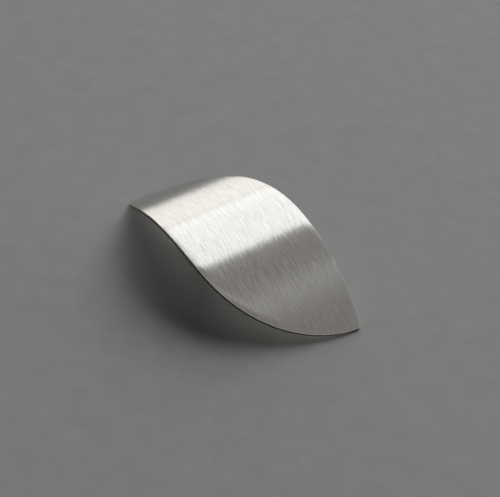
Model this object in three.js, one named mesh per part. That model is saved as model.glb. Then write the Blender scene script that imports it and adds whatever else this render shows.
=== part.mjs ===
// A leaf pendant: a pointed leaf of thin brushed silver sheet, fuller along its front edge and bent
// over in one hump, with a ring bail soldered under the hump. Millimetres, Z up. It stands on both
// tips and the bail, at z = 0.
//
// The sheet bends about straight lines, called rulings here, that run along Y. Its profile runs along
// X, from the steep tip at low X, over the hump and down the long fall to the far tip at high X. The
// back edge is the one at high Y. A place on the sheet is s, measured along the profile from the steep
// tip, and y, measured along the ruling.
import * as THREE from "three";

// The leaf, as cut from flat sheet. Its long axis runs from tip to tip.
const LEAF_LENGTH = 50;
const BACK_HALF_WIDTH = 7; // from the long axis to the back edge, where that is widest
const FRONT_HALF_WIDTH = 14.5;
const BACK_WIDEST = 0.5; // from the middle of the length to that place, towards the far tip
const FRONT_WIDEST = 4.5;
const STEEP_TIP_RADIUS = 0.8;
const FAR_TIP_RADIUS = 0.8;
const SHEET = 0.65;
const EDGE_ROUND = 0.15;
const LEAF_TURN = 16; // degrees from the profile's direction to the long axis

// The bends, in order from the steep tip. Radii are to the show face, and the fall takes the rest.
const SHOULDER_LENGTH = 12.5;
const SHOULDER_RADIUS = 50;
const HUMP_LENGTH = 15.5;
const HUMP_RADIUS = 14.5;
const FALL_RADIUS = 220;
const BEND_EASE = 4; // each bend passes into the next over this far to either side

// The bail, a ring that a neck wire passes through. It reaches down to the surface that the tips stand
// on, so its diameter comes from the height of its seat.
const BAIL_FROM_TIP = 18.5; // along the sheet, from the steep tip to the seat
const BAIL_FORWARD = 2.8; // from the line between the tips to the bail's middle, towards the front edge
const BAIL_WIDTH = 4;
const BAIL_WALL = 0.8;
const BAIL_CHAMFER = 0.12;

// The solder that holds the bail.
const SOLDER_GAP = 0.12; // solder between the ring and the sheet
const SOLDER_REACH = 2.4; // along the sheet, from the seat to the seam's edge
const SOLDER_SETBACK = 0.3; // from the ring's side to the seam's end

// How finely the round forms are divided.
const STATIONS = 80;
const RIM_STEPS = 2;
const BAIL_SIDES = 48;
const SOLDER_SIDES = 3; // sides of the ring that the seam covers, on each side of the seat
const SOLDER_FLANK_STEPS = 5;
const WALK_STEP = 0.05;

// Places on the flat leaf

const backEdge = { side: 1, halfWidth: BACK_HALF_WIDTH, widest: BACK_WIDEST };
const frontEdge = { side: -1, halfWidth: FRONT_HALF_WIDTH, widest: FRONT_WIDEST };
const steepTip = { centre: STEEP_TIP_RADIUS - LEAF_LENGTH / 2, radius: STEEP_TIP_RADIUS };
const farTip = { centre: LEAF_LENGTH / 2 - FAR_TIP_RADIUS, radius: FAR_TIP_RADIUS };
const rim = Math.min(EDGE_ROUND, SHEET / 2.5, STEEP_TIP_RADIUS / 2, FAR_TIP_RADIUS / 2);

// A point of the flat leaf, given along and across its long axis from the middle, in the profile's
// directions.
function turned(point) {
  return point.clone().rotateAround(new THREE.Vector2(), THREE.MathUtils.degToRad(LEAF_TURN));
}

// A flank is an arc from an edge's widest place that runs into a round tip. An inset draws it in from
// the cut edge.
function flank(edge, tip, inset) {
  const reach = tip.centre - edge.widest;
  const height = edge.halfWidth;
  const radius = (reach ** 2 + height ** 2 - tip.radius ** 2) / (2 * (height - tip.radius));
  const centre = new THREE.Vector2(edge.widest, edge.side * (height - radius));
  const toTip = new THREE.Vector2(tip.centre, 0).sub(centre).normalize();
  const joint = centre.clone().addScaledVector(toTip, radius - inset);
  return { centre: turned(centre), radius: radius - inset, jointX: turned(joint).x };
}

// The four arcs of one long edge, from the steep tip to the far tip. Each reaches as far as its "until".
function edgeArcs(edge, inset) {
  const steepFlank = flank(edge, steepTip, inset);
  const farFlank = flank(edge, farTip, inset);
  const widest = turned(new THREE.Vector2(edge.widest, edge.side * (edge.halfWidth - inset)));
  const round = (tip) => ({
    centre: turned(new THREE.Vector2(tip.centre, 0)),
    radius: tip.radius - inset,
  });
  return [
    { ...round(steepTip), until: steepFlank.jointX },
    { ...steepFlank, until: widest.x },
    { ...farFlank, until: farFlank.jointX },
    { ...round(farTip), until: Infinity },
  ];
}

const steepEndX = turned(new THREE.Vector2(steepTip.centre, 0)).x - STEEP_TIP_RADIUS;
const farEndX = turned(new THREE.Vector2(farTip.centre, 0)).x + FAR_TIP_RADIUS;
const span = farEndX - steepEndX;

// y of a long edge, at the place s along the profile.
function edgeY(edge, inset, s) {
  const x = s + steepEndX;
  const arc = edgeArcs(edge, inset).find(({ until }) => x <= until);
  return arc.centre.y + edge.side * Math.sqrt(Math.max(0, arc.radius ** 2 - (x - arc.centre.x) ** 2));
}

// s of a station. Stations crowd towards the tips, where the outline turns quickly.
function stationS(station, inset) {
  const share = (1 - Math.cos((Math.PI * (station + 0.5)) / (STATIONS + 1))) / 2;
  return inset + (span - 2 * inset) * share;
}

// The bent profile

const bends = [
  { length: SHOULDER_LENGTH, radius: SHOULDER_RADIUS },
  { length: HUMP_LENGTH, radius: HUMP_RADIUS },
  { length: span - SHOULDER_LENGTH - HUMP_LENGTH, radius: FALL_RADIUS },
];

// The downward turn of the sheet since its steep tip, summed along s, before the bends are eased into
// each other.
function turnSum(s) {
  let start = 0;
  let sum = 0;
  for (const { length, radius } of bends) {
    const past = Math.max(0, s - start);
    const within = Math.min(past, length);
    sum += (within ** 2 / 2 + (past - within) * length) / radius;
    start += length;
  }
  return sum;
}

// The slope of the sheet at s, with the sheet level at the steep tip.
function levelSlope(s) {
  return (turnSum(s - BEND_EASE) - turnSum(s + BEND_EASE)) / (2 * BEND_EASE);
}

// The show face, walked in short steps from the steep tip.
const walk = [new THREE.Vector2()];
for (let s = 0; s < span + WALK_STEP; s += WALK_STEP) {
  const slope = levelSlope(s + WALK_STEP / 2);
  const step = new THREE.Vector2(Math.cos(slope), Math.sin(slope)).multiplyScalar(WALK_STEP);
  walk.push(step.add(walk.at(-1)));
}

// A point of the sheet as x and z, at a depth below its show face, with the sheet level at the steep tip.
function levelPoint(s, depth) {
  const steps = s / WALK_STEP;
  const before = Math.floor(steps);
  const slope = levelSlope(s);
  return walk[before]
    .clone()
    .lerp(walk[before + 1], steps - before)
    .add(new THREE.Vector2(Math.sin(slope), -Math.cos(slope)).multiplyScalar(depth));
}

// The leaf is laid on its rounded rim at the steep tip and on the first place beyond it that comes down
// level with it.
const undersideS = Array.from({ length: STATIONS + 1 }, (_, station) => stationS(station, rim));
const rimCentre = levelPoint(rim, SHEET - rim);
const waysDown = undersideS.slice(1).map((s) => levelPoint(s, SHEET - rim).sub(rimCentre));
const restTurn = -Math.min(...waysDown.map((way) => Math.atan2(way.y, way.x)));

// A point of the sheet as it stands, as x and z, with the surface under it at z = 0.
function standingPoint(s, depth) {
  const standing = levelPoint(s, depth).sub(rimCentre).rotateAround(new THREE.Vector2(), restTurn);
  return standing.add(new THREE.Vector2(0, rim));
}

// The leaf

// How far each line of the rounded rim is drawn in and how deep it lies, from the underside up.
function rimLine(line) {
  const fromUnderside = line <= RIM_STEPS;
  const step = fromUnderside ? line : 2 * RIM_STEPS + 1 - line;
  const angle = ((Math.PI / 2) * step) / RIM_STEPS;
  const depth = rim * (1 - Math.cos(angle));
  return { inset: rim * (1 - Math.sin(angle)), depth: fromUnderside ? SHEET - depth : depth };
}

// The leaf is bent out of a box with a cell for each station, one cell across and the rim's lines up
// its sides.
function leafGeometry() {
  const rimLines = 2 * RIM_STEPS + 1;
  const geometry = new THREE.BoxGeometry(1, 1, 1, STATIONS, 1, rimLines);
  const position = geometry.getAttribute("position");
  for (let i = 0; i < position.count; i++) {
    const { inset, depth } = rimLine(Math.round((position.getZ(i) + 0.5) * rimLines));
    const s = stationS(Math.round((position.getX(i) + 0.5) * STATIONS), inset);
    const edge = position.getY(i) > 0 ? backEdge : frontEdge;
    const point = standingPoint(s, depth);
    position.setXYZ(i, point.x, edgeY(edge, inset, s), point.y);
  }
  geometry.computeVertexNormals();
  return geometry;
}

// The bail and its solder

const underside = undersideS.map((s) => standingPoint(s, SHEET));

// A point on the faceted underside, as x and z.
function undersidePoint(s) {
  const after = undersideS.findIndex((place) => place > s);
  const share = (s - undersideS[after - 1]) / (undersideS[after] - undersideS[after - 1]);
  return underside[after - 1].clone().lerp(underside[after], share);
}

// The ring touches its solder, square below the seat, and the surface that it stands on.
const seat = undersidePoint(BAIL_FROM_TIP);
const seatSlope = levelSlope(BAIL_FROM_TIP) + restTurn;
const bailRadius = (seat.y - SOLDER_GAP * Math.cos(seatSlope)) / (1 + Math.cos(seatSlope));
const intoSheet = new THREE.Vector2(-Math.sin(seatSlope), Math.cos(seatSlope));
const bailAxis = seat.clone().addScaledVector(intoSheet, -bailRadius - SOLDER_GAP);

// The bail's middle in y, beside the line between the two tips.
const steepTipPlace = turned(new THREE.Vector2(steepTip.centre, 0));
const farTipPlace = turned(new THREE.Vector2(farTip.centre, 0));
const alongTips = (bailAxis.x - standingPoint(0, 0).x) / (standingPoint(span, 0).x - standingPoint(0, 0).x);
const bailY = THREE.MathUtils.lerp(steepTipPlace.y, farTipPlace.y, alongTips) - BAIL_FORWARD;

function bailGeometry() {
  const half = BAIL_WIDTH / 2;
  const bore = bailRadius - BAIL_WALL;
  const chamfer = Math.min(BAIL_CHAMFER, BAIL_WALL / 3);
  const profile = [
    new THREE.Vector2(bore, -half + chamfer),
    new THREE.Vector2(bore + chamfer, -half),
    new THREE.Vector2(bailRadius - chamfer, -half),
    new THREE.Vector2(bailRadius, -half + chamfer),
    new THREE.Vector2(bailRadius, half - chamfer),
    new THREE.Vector2(bailRadius - chamfer, half),
    new THREE.Vector2(bore + chamfer, half),
    new THREE.Vector2(bore, half - chamfer),
  ];
  return new THREE.LatheGeometry([...profile, profile[0]], BAIL_SIDES, -seatSlope);
}

// A corner of the ring's outside, counted in sides from the one under the seat, towards the far tip.
function bailCorner(sides) {
  const angle = (2 * Math.PI * sides) / BAIL_SIDES - seatSlope;
  return new THREE.Vector2(Math.sin(angle), Math.cos(angle)).multiplyScalar(bailRadius).add(bailAxis);
}

// The seam fills the gap over the ring and draws in on both flanks, from the sheet to the ring's side.
function solderGeometry() {
  const first = BAIL_FROM_TIP - SOLDER_REACH;
  const last = BAIL_FROM_TIP + SOLDER_REACH;
  const between = undersideS.filter((s) => s > first && s < last);
  const top = [first, ...between, last].map(undersidePoint);
  const shape = new THREE.Shape(top);
  const flankTo = (end, inner) => {
    const hollow = inner.clone().add(shape.currentPoint).add(end).divideScalar(3);
    shape.quadraticCurveTo(hollow.x, hollow.y, end.x, end.y);
  };
  flankTo(bailCorner(SOLDER_SIDES), bailCorner(SOLDER_SIDES / 2));
  for (let side = SOLDER_SIDES - 1; side >= -SOLDER_SIDES; side--) {
    const corner = bailCorner(side);
    shape.lineTo(corner.x, corner.y);
  }
  flankTo(top[0], bailCorner(-SOLDER_SIDES / 2));
  const length = BAIL_WIDTH - 2 * SOLDER_SETBACK;
  return new THREE.ExtrudeGeometry(shape, {
    depth: length,
    bevelEnabled: false,
    curveSegments: SOLDER_FLANK_STEPS,
  })
    .translate(0, 0, -length / 2)
    .rotateX(Math.PI / 2);
}

// Materials

const brushedSilver = new THREE.MeshStandardMaterial({ color: 0xc9c6bf, roughness: 0.38, metalness: 1 });
const drawnSilver = new THREE.MeshStandardMaterial({ color: 0xc4c2bb, roughness: 0.26, metalness: 1 });
const silverSolder = new THREE.MeshStandardMaterial({ color: 0xb5b0a4, roughness: 0.5, metalness: 1 });

// Assembly

function piece(name, geometry, material) {
  const mesh = new THREE.Mesh(geometry, material);
  mesh.name = name;
  return mesh;
}

const leafBlade = piece("leaf_blade", leafGeometry(), brushedSilver);
const bailRing = piece("bail_ring", bailGeometry(), drawnSilver);
bailRing.position.set(bailAxis.x, bailY, bailAxis.y);
const solderSeam = piece("solder_seam", solderGeometry(), silverSolder);
solderSeam.position.y = bailY;

// The origin is under the middle of the leaf's box.
leafBlade.geometry.computeBoundingBox();
const box = leafBlade.geometry.boundingBox;
const middle = box.getCenter(new THREE.Vector3());
const standing = new THREE.Group();
standing.add(leafBlade, bailRing, solderSeam);
standing.position.set(-middle.x, -middle.y, -box.min.z);

const pendant = new THREE.Group();
pendant.name = "leaf_pendant";
pendant.add(standing);

export default pendant;
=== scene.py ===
# A pointed leaf of brushed silver sheet, bent over in one hump, with a ring bail soldered under the hump.
# It stands on both tips and the bail. Sizes are in millimetres until a mesh is made, and MM turns them into
# metres. A place on the sheet is s, along the bent profile from the steep tip, and y, along the straight
# lines that the sheet is bent about.
import math

import bpy
from mathutils import Matrix, Vector


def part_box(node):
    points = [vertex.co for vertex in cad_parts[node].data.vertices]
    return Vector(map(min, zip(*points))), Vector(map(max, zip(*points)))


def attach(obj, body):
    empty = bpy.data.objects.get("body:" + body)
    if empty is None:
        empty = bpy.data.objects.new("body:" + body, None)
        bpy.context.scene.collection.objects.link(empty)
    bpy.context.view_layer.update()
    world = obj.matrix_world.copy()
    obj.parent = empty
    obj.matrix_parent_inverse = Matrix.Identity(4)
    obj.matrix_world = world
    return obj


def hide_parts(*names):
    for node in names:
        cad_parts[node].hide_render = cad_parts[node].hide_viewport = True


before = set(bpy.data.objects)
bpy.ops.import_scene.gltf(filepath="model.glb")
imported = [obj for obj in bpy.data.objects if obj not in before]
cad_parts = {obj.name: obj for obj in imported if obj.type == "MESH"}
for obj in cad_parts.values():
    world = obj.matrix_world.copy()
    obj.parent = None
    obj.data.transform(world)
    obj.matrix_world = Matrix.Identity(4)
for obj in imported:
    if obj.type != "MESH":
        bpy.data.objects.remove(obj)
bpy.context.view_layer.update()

MM = 0.001

# The leaf, as cut from flat sheet
LEAF_LENGTH = 50
LEAF_TURN = math.radians(16)
BACK_EDGE = {"side": 1, "half_width": 7, "widest": 0.5}
FRONT_EDGE = {"side": -1, "half_width": 14.5, "widest": 4.5}
TIP_RADIUS = 0.8
STEEP_TIP = {"centre": TIP_RADIUS - LEAF_LENGTH / 2, "radius": TIP_RADIUS}
FAR_TIP = {"centre": LEAF_LENGTH / 2 - TIP_RADIUS, "radius": TIP_RADIUS}
SHEET = 0.65
EDGE_ROUND = 0.15
BUFF_WIDTH = 1.1  # the show face is buffed down a little along its edges, over this width
BUFF_DEPTH = 0.075

# The bends, in order from the steep tip
SHOULDER_LENGTH = 12.5
SHOULDER_RADIUS = 50
HUMP_LENGTH = 15.5
HUMP_RADIUS = 14.5
FALL_RADIUS = 220
BEND_EASE = 4

# The bail and its solder
BAIL_FROM_TIP = 18.5
BAIL_WIDTH = 4
BAIL_WALL = 0.8
BAIL_EDGE_ROUND = 0.12
SOLDER_GAP = 0.12
SOLDER_REACH = 2.4
SOLDER_COVER = math.radians(22.5)  # of the ring, to each side of the seat
SOLDER_SETBACK = 0.3
SOLDER_NARROWING = 0.35  # how much less it reaches at its two ends
SOLDER_CREASE = math.radians(50)  # sharper folds than this stay sharp

# How finely the forms are divided
STATIONS = 320
CELLS_ACROSS = 24
RIM_STEPS = 6
WALK_STEP = 0.05
RING_SIDES = 160
RING_EDGE_STEPS = 6
SOLDER_STATIONS = 32
SOLDER_STEPS = 14

# The brushed silver: its streaks, how far they tilt the surface, its cut edge with painted shade and its
# underside. Its noises have a scale for s and one for y, both per millimetre.
BRUSH_ANISOTROPY = 0.97
FINE_STREAKS = (0.42, 4.8, 0.0)
BROAD_STREAKS = (0.3, 3.4, 0.0)
SCRATCHES = (0.1, 5.0, 0.0)
CLOUDS = (0.13, 0.2, 0.0)
FINE_SHARE = 0.65  # of the streaks' colour, and the broad streaks make the rest
STREAK_DARK = (0.64, 0.628, 0.602)
STREAK_PALE = (0.92, 0.91, 0.88)
TILT_ACROSS = 0.3
TILT_DOWN = 0.036
SCRATCH_TILT = 0.06
BRUSH_SMOOTH = 0.18
BRUSH_ROUGH = 0.215
CLOUD_ROUGHNESS = 0.03
# Painted shade: the cut edge is coloured dark for the shadowed floor it mirrors; its roughness is real matt
EDGE_SHADE_DARK = (0.13, 0.115, 0.1)
EDGE_SHADE_PALE = (0.26, 0.235, 0.21)
EDGE_ROUGHNESS = 0.3
UNDERSIDE_COLOUR = (0.62, 0.605, 0.575)
UNDERSIDE_SHARE = 0.6
UNDERSIDE_ROUGHNESS = 0.14

# The bail, the solder and the floor. Their noises have scales per metre, and their bumps depths in metres.
DRAW_ANISOTROPY = 0.5
DRAW_LINES = (300.0, 9000.0, 300.0)
DRAW_CLOUDS = (500.0, 500.0, 500.0)
DRAW_DARK = (0.66, 0.645, 0.61)
DRAW_PALE = (0.83, 0.82, 0.79)
DRAW_DEPTH = 0.00002
SOLDER_RIPPLE = (1600.0, 1600.0, 1600.0)
SOLDER_STAIN = (700.0, 700.0, 700.0)
SOLDER_DARK = (0.42, 0.39, 0.34)
SOLDER_PALE = (0.74, 0.72, 0.67)
SOLDER_DEPTH = 0.00006
FLOOR_MOTTLE = (260.0, 260.0, 260.0)
FLOOR_DARK = (0.81, 0.806, 0.80)
FLOOR_PALE = (0.86, 0.856, 0.85)
FLOOR_ROUGHNESS = 0.95
FLOOR_SHINE = 0.1

# The camera, which looks down at the leaf's front edge
CAMERA_AZIMUTH = math.radians(46.354)
CAMERA_ELEVATION = math.radians(41.9153)
CAMERA_ROLL = math.radians(9.234)
CAMERA_DISTANCE = 300
CAMERA_TARGET = (-0.0593, 3.8383, 2.9987)
CAMERA_LENS = 137.56
CAMERA_SENSOR = 36
CAMERA_NEAR = 0.01
CAMERA_FAR = 20

# The studio, in metres. A soft ceiling light lies behind the leaf and ends a little to its right, so that
# the hump mirrors the light and the fall mirrors the dim sky past its end. A faint strip lies beyond that
# end. The light at the left side grows stronger with height, and a dim light stands behind.
CEILING = 1.5
CEILING_TURN = math.radians(5)
CEILING_FRONT_Y = 0.4
CEILING_RIGHT_X = 0.267
CEILING_LIGHT = 1.16
CEILING_COLOUR = (0.965, 0.985, 1.0)
STRIP_X = 0.525
STRIP_WIDTH = 0.1
STRIP_LIGHT = 0.17
SIDE_X = -1.28
SIDE_FRONT_Y = 0.1
SIDE_STEPS = ((0.12, 0.33), (0.24, 0.55), (0.5, 0.84), (1.2, 0.98), (1.5, 1.06))  # height reached, light
SIDE_COLOUR = (1.0, 0.998, 0.955)
BACK_Y = 2.4
BACK_LOW = 0.4
BACK_HIGH = 1.4
BACK_RIGHT_X = 2.2
BACK_LIGHT = 0.4
BACK_COLOUR = (0.93, 0.965, 1.0)
FLOOR_REACH = 1.25

# The sky round the studio. The camera and the metal see it paler than it lights the floor.
SKY_COLOUR = (1.0, 0.965, 0.95)
SKY_LIGHT = 0.005
SKY_HORIZON = 0.7
SKY_SEEN = 0.2
SKY_FRONT = 0.3
SKY_HORIZON_TOP = 0.3  # the height, in the direction's own unit, at which the horizon's glow has gone
FRONT_FROM = -0.2  # how far forwards the paler front begins, and where it is full
FRONT_FULL = -0.7


def flat(x, y):
    """A point of the flat leaf, given along and across its long axis, in the profile's directions."""
    return Matrix.Rotation(LEAF_TURN, 2) @ Vector((x, y))


def flank(edge, tip, inset):
    """The arc from an edge's widest place that runs into a round tip."""
    reach = tip["centre"] - edge["widest"]
    height = edge["half_width"]
    radius = (reach**2 + height**2 - tip["radius"] ** 2) / (2 * (height - tip["radius"]))
    centre = Vector((edge["widest"], edge["side"] * (height - radius)))
    to_tip = (Vector((tip["centre"], 0)) - centre).normalized()
    joint = centre + to_tip * (radius - inset)
    return flat(*centre), radius - inset, flat(*joint).x


def edge_arcs(edge, inset):
    """The four arcs of one long edge, each with the x that it reaches to."""
    steep = flank(edge, STEEP_TIP, inset)
    far = flank(edge, FAR_TIP, inset)
    widest = flat(edge["widest"], edge["side"] * (edge["half_width"] - inset))
    return [
        (flat(STEEP_TIP["centre"], 0), STEEP_TIP["radius"] - inset, steep[2]),
        (steep[0], steep[1], widest.x),
        far,
        (flat(FAR_TIP["centre"], 0), FAR_TIP["radius"] - inset, math.inf),
    ]


STEEP_END_X = flat(STEEP_TIP["centre"], 0).x - STEEP_TIP["radius"]
SPAN = flat(FAR_TIP["centre"], 0).x + FAR_TIP["radius"] - STEEP_END_X


def edge_y(edge, inset, s):
    """y of a long edge at the place s."""
    x = s + STEEP_END_X
    centre, radius, _ = next(arc for arc in edge_arcs(edge, inset) if x <= arc[2])
    return centre.y + edge["side"] * math.sqrt(max(0, radius**2 - (x - centre.x) ** 2))


def turn_sum(s):
    """The downward turn of the sheet since its steep tip, summed along s."""
    start, total = 0, 0
    fall_length = SPAN - SHOULDER_LENGTH - HUMP_LENGTH
    for length, radius in (
        (SHOULDER_LENGTH, SHOULDER_RADIUS),
        (HUMP_LENGTH, HUMP_RADIUS),
        (fall_length, FALL_RADIUS),
    ):
        past = max(0, s - start)
        within = min(past, length)
        total += (within**2 / 2 + (past - within) * length) / radius
        start += length
    return total


def level_slope(s):
    return (turn_sum(s - BEND_EASE) - turn_sum(s + BEND_EASE)) / (2 * BEND_EASE)


def walk_profile():
    """Points of the show face in short steps, with the sheet level at its steep tip."""
    points = [Vector((0, 0))]
    for step in range(int(SPAN / WALK_STEP) + 2):
        slope = level_slope((step + 0.5) * WALK_STEP)
        points.append(points[-1] + Vector((math.cos(slope), math.sin(slope))) * WALK_STEP)
    return points


WALK = walk_profile()


def level_point(s, depth):
    before = int(s / WALK_STEP)
    slope = level_slope(s)
    surface = WALK[before].lerp(WALK[before + 1], s / WALK_STEP - before)
    return surface + Vector((math.sin(slope), -math.cos(slope))) * depth


def station_s(station, inset):
    share = (1 - math.cos(math.pi * (station + 0.5) / (STATIONS + 1))) / 2
    return inset + (SPAN - 2 * inset) * share


def rest_turn():
    """The turn that lays the leaf on its steep tip and on the first place that comes down level with it."""
    start = level_point(EDGE_ROUND, SHEET - EDGE_ROUND)
    stations = [station_s(k, EDGE_ROUND) for k in range(1, STATIONS + 1)]
    ways = [level_point(s, SHEET - EDGE_ROUND) - start for s in stations]
    return start, -min(math.atan2(way.y, way.x) for way in ways)


RIM_CENTRE, REST_TURN = rest_turn()


def standing_point(s, depth):
    """A point of the sheet as x and z, with the surface that it stands on at z = 0."""
    standing = Matrix.Rotation(REST_TURN, 2) @ (level_point(s, depth) - RIM_CENTRE)
    return standing + Vector((0, EDGE_ROUND))


def standing_slope(s):
    return level_slope(s) + REST_TURN


def new_mesh(name, points, faces, normals=None):
    mesh = bpy.data.meshes.new(name)
    mesh.from_pydata([point * MM for point in points], [], faces)
    mesh.validate()
    for polygon in mesh.polygons:
        polygon.use_smooth = True
    if normals:
        mesh.normals_split_custom_set_from_vertices(normals)
    piece = bpy.data.objects.new(name, mesh)
    bpy.context.scene.collection.objects.link(piece)
    return piece


def loft(stations, count):
    """Faces that join each loop of points to the next, and close both ends of the solid."""
    faces = []
    for station in range(stations):
        for k in range(count):
            a, b = station * count + k, station * count + (k + 1) % count
            faces.append((a, a + count, b + count, b))
    faces.append(tuple(range(count)))
    faces.append(tuple(stations * count + k for k in reversed(range(count))))
    return faces


def fitted(points, node):
    """The points moved by a few hundredths of a millimetre at most, to fill the node's own box."""
    low, high = (Vector(corner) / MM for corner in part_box(node))
    own_low = Vector(min(p[k] for p in points) for k in range(3))
    own_high = Vector(max(p[k] for p in points) for k in range(3))
    scale = [(high[k] - low[k]) / (own_high[k] - own_low[k]) for k in range(3)]
    return [Vector(low[k] + (p[k] - own_low[k]) * scale[k] for k in range(3)) for p in points]


def leaf_line(line):
    """One line of the closed section: share across from front to back, inset, depth and outward tilt."""
    half = CELLS_ACROSS + 2 * RIM_STEPS
    under = line > half
    step = 2 * half + 1 - line if under else line
    if step < RIM_STEPS:
        angle, share = math.pi / 2 * step / RIM_STEPS, 0
    elif step <= RIM_STEPS + CELLS_ACROSS:
        angle, share = math.pi / 2, (1 - math.cos(math.pi * (step - RIM_STEPS) / CELLS_ACROSS)) / 2
    else:
        angle, share = math.pi / 2 * (half - step) / RIM_STEPS, 1
    return {
        "share": share,
        "under": under,
        "inset": EDGE_ROUND * (1 - math.cos(angle)),
        "depth": EDGE_ROUND * (1 - math.sin(angle)),
        "out": math.cos(angle),
        "up": math.sin(angle),
    }


def from_edge(s, y):
    """How far a place is from the nearer cut edge, and the way there along s and y."""
    place = Vector((s + STEEP_END_X, y))
    found = []
    for edge in (FRONT_EDGE, BACK_EDGE):
        centre, radius, _ = next(arc for arc in edge_arcs(edge, 0) if place.x <= arc[2])
        found.append((radius - (place - centre).length, edge["side"], (place - centre).normalized()))
    distance, _, way = min(found)
    return max(0, distance), way


def make_leaf():
    count = 2 * (CELLS_ACROSS + 2 * RIM_STEPS + 1)
    lines = [leaf_line(k) for k in range(count)]
    points, normals, places, sides = [], [], [], []
    for station in range(STATIONS + 1):
        for line in lines:
            s = station_s(station, line["inset"])
            front = edge_y(FRONT_EDGE, line["inset"], s)
            back = edge_y(BACK_EDGE, line["inset"], s)
            y = front + (back - front) * line["share"]
            distance, way = from_edge(s, y)
            buffed = 0 if line["under"] else max(0, 1 - distance / BUFF_WIDTH)
            depth = line["depth"] + BUFF_DEPTH * buffed**2
            where = standing_point(s, SHEET - depth if line["under"] else depth)
            slope = standing_slope(s)
            along = Vector((math.cos(slope), 0, math.sin(slope)))
            face = Vector((-math.sin(slope), 0, math.cos(slope))) * (-1 if line["under"] else 1)
            outward = along * way.x + Vector((0, way.y, 0))
            lean = line["out"] + line["up"] * 2 * BUFF_DEPTH / BUFF_WIDTH * buffed
            points.append(Vector((where.x, y, where.y)))
            normals.append((face * line["up"] + outward * lean).normalized())
            places.append((s, y, distance))
            sides.append((line["out"], float(line["under"]), 0.0))
    faces = loft(STATIONS, count)
    piece = new_mesh("leaf_brushed", fitted(points, "leaf_blade"), faces, normals)
    for name, values in (("sheet_place", places), ("sheet_side", sides)):
        attribute = piece.data.attributes.new(name, "FLOAT_VECTOR", "POINT")
        attribute.data.foreach_set("vector", [value for row in values for value in row])
    return piece


def make_ring():
    """The bail: a ring of flat strip with rounded edges."""
    half = BAIL_WIDTH / 2
    low, high = (Vector(corner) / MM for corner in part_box("bail_ring"))
    outer, axis = (high.x - low.x) / 2, (low + high) / 2
    corners = (
        (outer - BAIL_WALL + BAIL_EDGE_ROUND, BAIL_EDGE_ROUND - half, math.pi),
        (outer - BAIL_EDGE_ROUND, BAIL_EDGE_ROUND - half, 1.5 * math.pi),
        (outer - BAIL_EDGE_ROUND, half - BAIL_EDGE_ROUND, 0),
        (outer - BAIL_WALL + BAIL_EDGE_ROUND, half - BAIL_EDGE_ROUND, 0.5 * math.pi),
    )
    section = []
    for radius, y, start in corners:
        for step in range(RING_EDGE_STEPS + 1):
            turn = start + math.pi / 2 * step / RING_EDGE_STEPS
            out, side = math.cos(turn), math.sin(turn)
            section.append((radius + BAIL_EDGE_ROUND * out, y + BAIL_EDGE_ROUND * side, out, side))
    points, normals, faces = [], [], []
    for k in range(RING_SIDES):
        turn = 2 * math.pi * k / RING_SIDES
        ray = Vector((math.cos(turn), 0, math.sin(turn)))
        for radius, y, out, side in section:
            points.append(axis + ray * radius + Vector((0, y, 0)))
            normals.append(ray * out + Vector((0, side, 0)))
    count = len(section)
    for k in range(RING_SIDES):
        for m in range(count):
            a, b = k * count, (k + 1) % RING_SIDES * count
            n = (m + 1) % count
            faces.append((a + m, a + n, b + n, b + m))
    return new_mesh("bail_drawn", fitted(points, "bail_ring"), faces, normals)


def make_solder():
    """The solder between the ring and the sheet, hollow in its flanks and narrower at its ends."""
    seat = standing_point(BAIL_FROM_TIP, SHEET)
    slope = standing_slope(BAIL_FROM_TIP)
    into = Vector((-math.sin(slope), math.cos(slope)))
    along = Vector((math.cos(slope), math.sin(slope)))
    radius = (seat.y - SOLDER_GAP * math.cos(slope)) / (1 + math.cos(slope))
    axis = seat - into * (radius + SOLDER_GAP)

    def on_ring(turn):
        return axis + (along * math.sin(turn) + into * math.cos(turn)) * radius

    def section(width):
        reach, cover = SOLDER_REACH * width, SOLDER_COVER * width
        steps = [k / SOLDER_STEPS for k in range(SOLDER_STEPS)]
        top = [standing_point(BAIL_FROM_TIP + reach * (2 * u - 1), SHEET) for u in steps]
        flanks = []
        for side in (1, -1):
            foot, end = standing_point(BAIL_FROM_TIP + side * reach, SHEET), on_ring(side * cover)
            hollow = (foot + end + on_ring(side * cover / 2)) / 3
            flanks.append([foot * (1 - u) ** 2 + hollow * 2 * u * (1 - u) + end * u**2 for u in steps])
        over = [on_ring(cover * (1 - 2 * u)) for u in steps]
        back = [on_ring(-cover)] + flanks[1][:0:-1]
        return top + flanks[0] + over + back

    half = BAIL_WIDTH / 2 - SOLDER_SETBACK
    points = []
    for station in range(SOLDER_STATIONS + 1):
        turn = math.pi * (station / SOLDER_STATIONS - 0.5)
        loop = section(1 - SOLDER_NARROWING * (1 - math.cos(turn)) ** 2)
        points += [Vector((place.x, half * math.sin(turn), place.y)) for place in loop]
    faces = loft(SOLDER_STATIONS, len(loop))
    piece = new_mesh("solder_flowed", fitted(points, "solder_seam"), faces)
    piece.data.set_sharp_from_angle(angle=SOLDER_CREASE)
    return piece


def node(tree, kind, inputs=(), **settings):
    made = tree.nodes.new(kind)
    for key, value in settings.items():
        setattr(made, key, value)
    for key, value in dict(inputs).items():
        if isinstance(value, bpy.types.NodeSocket):
            tree.links.new(value, made.inputs[key])
        else:
            made.inputs[key].default_value = value
    return made


def maths(tree, operation, *values):
    return node(tree, "ShaderNodeMath", dict(enumerate(values)), operation=operation).outputs[0]


def vector_maths(tree, operation, *values):
    return node(tree, "ShaderNodeVectorMath", dict(enumerate(values)), operation=operation).outputs[0]


def scaled_vector(tree, vector, factor):
    return node(
        tree, "ShaderNodeVectorMath", {"Vector": vector, "Scale": factor}, operation="SCALE"
    ).outputs[0]


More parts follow.
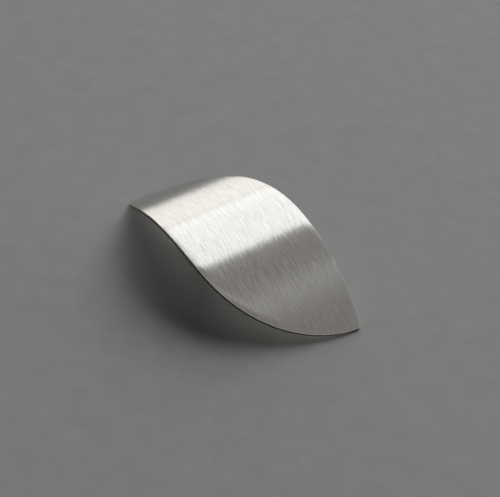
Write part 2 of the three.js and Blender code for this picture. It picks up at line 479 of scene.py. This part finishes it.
def noise_at(tree, place, scale, detail=2.0, roughness=0.5):
    """Noise with its own scale along each direction of the place."""
    stretched = node(tree, "ShaderNodeMapping", {"Vector": place, "Scale": scale}).outputs[0]
    made = node(
        tree,
        "ShaderNodeTexNoise",
        {"Vector": stretched, "Scale": 1.0, "Detail": detail, "Roughness": roughness},
    )
    return made.outputs["Fac"]


def spread(tree, value, low, high, out_low, out_high, smooth=False):
    return node(
        tree,
        "ShaderNodeMapRange",
        {"Value": value, "From Min": low, "From Max": high, "To Min": out_low, "To Max": out_high},
        interpolation_type="SMOOTHSTEP" if smooth else "LINEAR",
    ).outputs[0]


def portion(tree, value, low, high):
    """How far a value has come from low to high, from 0 to 1."""
    return spread(tree, value, low, high, 0.0, 1.0)


def times(tree, value, factor):
    return maths(tree, "MULTIPLY", value, factor)


def plus(tree, *values):
    """The sum of two or more values, taken in order."""
    total = values[0]
    for value in values[1:]:
        total = maths(tree, "ADD", total, value)
    return total


def metal(name, anisotropy=0.0):
    material = bpy.data.materials.new(name)
    material.use_nodes = True
    tree = material.node_tree
    shader = tree.nodes["Principled BSDF"]
    shader.inputs["Metallic"].default_value = 1.0
    shader.inputs["Anisotropic"].default_value = anisotropy
    return material, tree, shader


def tinted(tree, first, second, factor):
    """A mix of two colours, each given as numbers or as a socket."""
    ends = [end if isinstance(end, bpy.types.NodeSocket) else (*end, 1) for end in (first, second)]
    return node(tree, "ShaderNodeMix", {0: factor, 6: ends[0], 7: ends[1]}, data_type="RGBA").outputs[2]


def brushed_silver():
    """Silver brushed along the profile, so that its shine spreads along the straight lines. The cut edges
    are matt, with painted shade darkening their colour, and the underside is as the rolling mill left it."""
    material, tree, shader = metal("brushed_silver", BRUSH_ANISOTROPY)
    place = node(tree, "ShaderNodeAttribute", attribute_name="sheet_place").outputs["Vector"]
    side = node(tree, "ShaderNodeAttribute", attribute_name="sheet_side").outputs["Vector"]
    parts = node(tree, "ShaderNodeSeparateXYZ", {0: side}).outputs
    cut = spread(tree, parts[0], 0.45, 0.9, 0.0, 1.0, True)
    under = parts[1]
    fine = noise_at(tree, place, FINE_STREAKS, 4.0, 0.7)
    broad = noise_at(tree, place, BROAD_STREAKS, 2.0)
    cloud = noise_at(tree, place, CLOUDS, 2.0)
    scratch = spread(tree, noise_at(tree, place, SCRATCHES, 1.0), 0.64, 0.74, 0.0, 1.0, True)
    streaks = plus(tree, times(tree, fine, FINE_SHARE), times(tree, broad, 1 - FINE_SHARE))
    colour = tinted(tree, STREAK_DARK, STREAK_PALE, portion(tree, streaks, 0.32, 0.68))
    colour = tinted(tree, colour, UNDERSIDE_COLOUR, times(tree, under, UNDERSIDE_SHARE))
    # painted shade: the cut edge's colour is darkened for the shadowed floor that it mirrors
    edge_shade_colour = tinted(tree, EDGE_SHADE_DARK, EDGE_SHADE_PALE, portion(tree, streaks, 0.35, 0.65))
    colour = tinted(tree, colour, edge_shade_colour, cut)
    roughness = plus(
        tree,
        spread(tree, fine, 0.3, 0.7, BRUSH_SMOOTH, BRUSH_ROUGH),
        times(tree, cloud, CLOUD_ROUGHNESS),
        times(tree, under, UNDERSIDE_ROUGHNESS),
        times(tree, cut, EDGE_ROUGHNESS),
    )
    normal = node(tree, "ShaderNodeNewGeometry").outputs["Normal"]
    along = node(
        tree,
        "ShaderNodeVectorTransform",
        {0: (0, 1, 0)},
        vector_type="VECTOR",
        convert_from="OBJECT",
        convert_to="WORLD",
    ).outputs[0]
    down = vector_maths(tree, "CROSS_PRODUCT", along, normal)
    tilted = normal
    for way, tilt in (
        (along, times(tree, maths(tree, "SUBTRACT", fine, 0.5), TILT_ACROSS)),
        (down, times(tree, maths(tree, "SUBTRACT", broad, 0.5), TILT_DOWN)),
        (along, times(tree, scratch, SCRATCH_TILT)),
    ):
        tilted = vector_maths(tree, "ADD", tilted, scaled_vector(tree, way, tilt))
    tree.links.new(colour, shader.inputs["Base Color"])
    tree.links.new(roughness, shader.inputs["Roughness"])
    tree.links.new(vector_maths(tree, "NORMALIZE", tilted), shader.inputs["Normal"])
    tree.links.new(along, shader.inputs["Tangent"])
    return material


def drawn_silver():
    """Silver strip with the fine lines of drawing along its length and a few dull patches."""
    material, tree, shader = metal("drawn_silver", DRAW_ANISOTROPY)
    place = node(tree, "ShaderNodeTexCoord").outputs["Object"]
    lines = noise_at(tree, place, DRAW_LINES, 3.0)
    cloud = noise_at(tree, place, DRAW_CLOUDS, 3.0)
    colour = tinted(tree, DRAW_DARK, DRAW_PALE, portion(tree, cloud, 0.3, 0.7))
    tree.links.new(colour, shader.inputs["Base Color"])
    tree.links.new(spread(tree, lines, 0.3, 0.7, 0.2, 0.34), shader.inputs["Roughness"])
    bump = node(tree, "ShaderNodeBump", {"Height": lines, "Strength": 0.25, "Distance": DRAW_DEPTH})
    tree.links.new(bump.outputs[0], shader.inputs["Normal"])
    return material


def silver_solder():
    """Solder as it flowed: matt and rippled, darker where flux sat."""
    material, tree, shader = metal("silver_solder")
    place = node(tree, "ShaderNodeTexCoord").outputs["Object"]
    ripple = noise_at(tree, place, SOLDER_RIPPLE, 4.0)
    stain = noise_at(tree, place, SOLDER_STAIN, 3.0)
    colour = tinted(tree, SOLDER_DARK, SOLDER_PALE, portion(tree, stain, 0.35, 0.6))
    tree.links.new(colour, shader.inputs["Base Color"])
    tree.links.new(spread(tree, ripple, 0.3, 0.7, 0.38, 0.62), shader.inputs["Roughness"])
    bump = node(tree, "ShaderNodeBump", {"Height": ripple, "Strength": 0.5, "Distance": SOLDER_DEPTH})
    tree.links.new(bump.outputs[0], shader.inputs["Normal"])
    return material


def floor_material():
    """A pale matt floor with the faintest mottling."""
    material = bpy.data.materials.new("pale_floor")
    material.use_nodes = True
    tree = material.node_tree
    shader = tree.nodes["Principled BSDF"]
    place = node(tree, "ShaderNodeTexCoord").outputs["Object"]
    mottle = noise_at(tree, place, FLOOR_MOTTLE, 4.0, 0.6)
    colour = tinted(tree, FLOOR_DARK, FLOOR_PALE, portion(tree, mottle, 0.35, 0.65))
    tree.links.new(colour, shader.inputs["Base Color"])
    shader.inputs["Roughness"].default_value = FLOOR_ROUGHNESS
    shader.inputs["Specular IOR Level"].default_value = FLOOR_SHINE
    return material


def make_floor():
    corners = [(-1, -1), (1, -1), (1, 1), (-1, 1)]
    mesh = bpy.data.meshes.new("floor")
    mesh.from_pydata([(x * FLOOR_REACH, y * FLOOR_REACH, 0) for x, y in corners], [], [(0, 1, 2, 3)])
    floor = bpy.data.objects.new("floor", mesh)
    bpy.context.scene.collection.objects.link(floor)
    floor.data.materials.append(floor_material())


def make_panel(name, middle, facing, across, size, light, colour, turn=0.0):
    """A soft light panel that faces one way, with its first side along the way given by across. The light
    is what a mirror shows of it, where 1 is white."""
    lamp = bpy.data.lights.new(name, "AREA")
    lamp.shape = "RECTANGLE"
    lamp.size, lamp.size_y = size
    lamp.energy = light * math.pi * lamp.size * lamp.size_y
    lamp.color = colour
    panel = bpy.data.objects.new(name, lamp)
    axis_z = -Vector(facing)
    axis_x = Vector(across)
    basis = Matrix((axis_x, axis_z.cross(axis_x), axis_z)).transposed().to_4x4()
    panel.matrix_world = Matrix.Translation(middle) @ Matrix.Rotation(turn, 4, "Z") @ basis
    panel.visible_camera = False
    bpy.context.scene.collection.objects.link(panel)


def make_lights():
    middle_y, depth = (CEILING_FRONT_Y + BACK_Y) / 2, BACK_Y - CEILING_FRONT_Y
    down, sideways, forwards = (0, 0, -1), (1, 0, 0), (0, -1, 0)
    for name, low_x, high_x, light in (
        ("ceiling_light", SIDE_X, CEILING_RIGHT_X, CEILING_LIGHT),
        ("ceiling_strip", STRIP_X - STRIP_WIDTH / 2, STRIP_X + STRIP_WIDTH / 2, STRIP_LIGHT),
    ):
        make_panel(
            name,
            ((low_x + high_x) / 2, middle_y, CEILING),
            down,
            sideways,
            (high_x - low_x, depth),
            light,
            CEILING_COLOUR,
            CEILING_TURN,
        )
    middle_y, depth = (SIDE_FRONT_Y + BACK_Y) / 2, BACK_Y - SIDE_FRONT_Y
    bottom = 0
    for step, (top, light) in enumerate(SIDE_STEPS):
        make_panel(
            f"side_light_{step}",
            (SIDE_X, middle_y, (bottom + top) / 2),
            sideways,
            (0, 1, 0),
            (depth, top - bottom),
            light,
            SIDE_COLOUR,
        )
        bottom = top
    make_panel(
        "back_light",
        ((SIDE_X + BACK_RIGHT_X) / 2, BACK_Y, (BACK_LOW + BACK_HIGH) / 2),
        forwards,
        sideways,
        (BACK_RIGHT_X - SIDE_X, BACK_HIGH - BACK_LOW),
        BACK_LIGHT,
        BACK_COLOUR,
    )


def make_sky():
    """Dim surroundings. The camera and the metal see a pale backdrop low down and a paler sky in front."""
    world = bpy.data.worlds.new("surroundings")
    bpy.context.scene.world = world
    world.use_nodes = True
    tree = world.node_tree
    direction = node(tree, "ShaderNodeTexCoord").outputs["Generated"]
    parts = node(tree, "ShaderNodeSeparateXYZ", {0: direction}).outputs
    backdrop = spread(tree, parts[2], 0.0, SKY_HORIZON_TOP, SKY_HORIZON, SKY_SEEN, True)
    front = spread(tree, parts[1], FRONT_FROM, FRONT_FULL, 0.0, SKY_FRONT, True)
    path = node(tree, "ShaderNodeLightPath").outputs
    seen = maths(tree, "MAXIMUM", path["Is Camera Ray"], path["Is Glossy Ray"])
    seen = maths(tree, "MAXIMUM", seen, path["Is Transmission Ray"])
    extra = maths(tree, "SUBTRACT", plus(tree, backdrop, front), SKY_LIGHT)
    level = plus(tree, times(tree, seen, extra), SKY_LIGHT)
    background = tree.nodes["Background"]
    background.inputs["Color"].default_value = (*SKY_COLOUR, 1)
    tree.links.new(level, background.inputs["Strength"])


def make_camera():
    azimuth, elevation, roll = CAMERA_AZIMUTH, CAMERA_ELEVATION, CAMERA_ROLL
    back = Vector(
        (
            math.sin(azimuth) * math.cos(elevation),
            -math.cos(azimuth) * math.cos(elevation),
            math.sin(elevation),
        )
    )
    level = Vector((math.cos(azimuth), math.sin(azimuth), 0))
    upright = back.cross(level)
    axis_x = math.cos(roll) * level + math.sin(roll) * upright
    axis_y = math.cos(roll) * upright - math.sin(roll) * level
    data = bpy.data.cameras.new("camera")
    data.lens = CAMERA_LENS
    data.sensor_width = CAMERA_SENSOR
    data.clip_start = CAMERA_NEAR
    data.clip_end = CAMERA_FAR
    camera = bpy.data.objects.new("camera", data)
    turn = Matrix((axis_x, axis_y, back)).transposed().to_4x4()
    place = (Vector(CAMERA_TARGET) + back * CAMERA_DISTANCE) * MM
    camera.matrix_world = Matrix.Translation(place) @ turn
    bpy.context.scene.collection.objects.link(camera)
    bpy.context.scene.camera = camera


def dress(piece, material, node_name):
    piece.data.materials.append(material)
    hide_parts(node_name)
    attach(piece, "root")


make_camera()
make_floor()
make_sky()
make_lights()

dress(make_leaf(), brushed_silver(), "leaf_blade")
dress(make_ring(), drawn_silver(), "bail_ring")
dress(make_solder(), silver_solder(), "solder_seam")

bpy.context.scene.view_settings.view_transform = "Standard"
